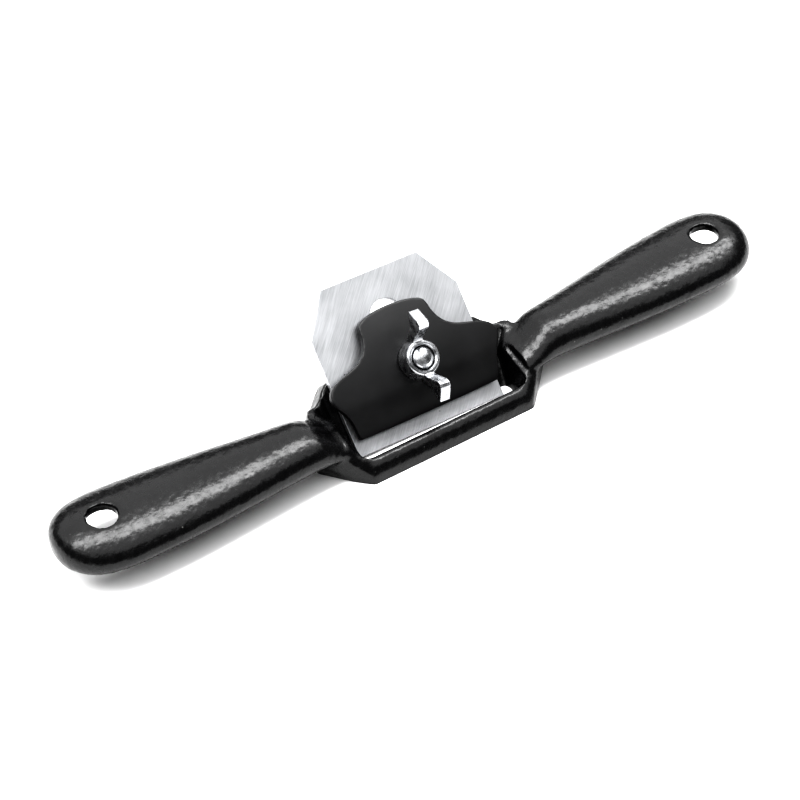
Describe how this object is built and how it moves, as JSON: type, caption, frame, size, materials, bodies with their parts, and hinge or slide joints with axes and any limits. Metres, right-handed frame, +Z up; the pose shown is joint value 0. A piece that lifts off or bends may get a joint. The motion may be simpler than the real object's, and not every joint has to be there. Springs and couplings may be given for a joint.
{
  "type": "spokeshave",
  "caption": "Flat-soled metal spokeshave with straight cast handles, a bedded steel cutter, an arched lever cap and a wing nut; it shaves rounded and flat wood along the grain.",
  "frame": {"origin": "middle of the bounding box in plan, on the plane of the sole", "axes": "+X along the handles to the user's right as the toe faces them, -Y towards the toe, +Z up from the sole"},
  "size_m": [0.2106, 0.0414, 0.0302],
  "materials": {
    "enamelled_iron": "glossy black enamel over sand-cast iron, orange-peel texture, bare ground bed and sole",
    "ground_steel": "bare steel with fine oblique grinding lines",
    "painted_cap": "smooth satin black paint over iron",
    "zinc_bolt": "bright zinc plate, slightly dulled",
    "zinc_nut": "bright zinc plate"
  },
  "bodies": {
    "frame": {"casting": "enamelled_iron", "bolt": "zinc_bolt"},
    "cutter": {"blade": "ground_steel"},
    "cap": {"lever_cap": "painted_cap"},
    "nut": {"wing_nut": "zinc_nut"}
  },
  "joints": [
    {"name": "cutter_depth", "type": "slide", "parent": "frame", "child": "cutter", "axis": [0, -0.729, -0.6845], "range_m": [-0.0022, 0.0018]},
    {"name": "cap_lift", "type": "slide", "parent": "frame", "child": "cap", "axis": [0, -0.6845, 0.729], "range_m": [0, 0.004]},
    {"name": "nut_turn", "type": "hinge", "parent": "cap", "child": "nut", "pos_m": [0, 0.0007, 0.01235], "axis": [0, -0.6845, 0.729], "range_deg": [0, 1440.1]}
  ],
  "couplings": [
    {"joint": "nut_turn", "follows": "cap_lift", "rad_per_m": 6283.2}
  ]
}
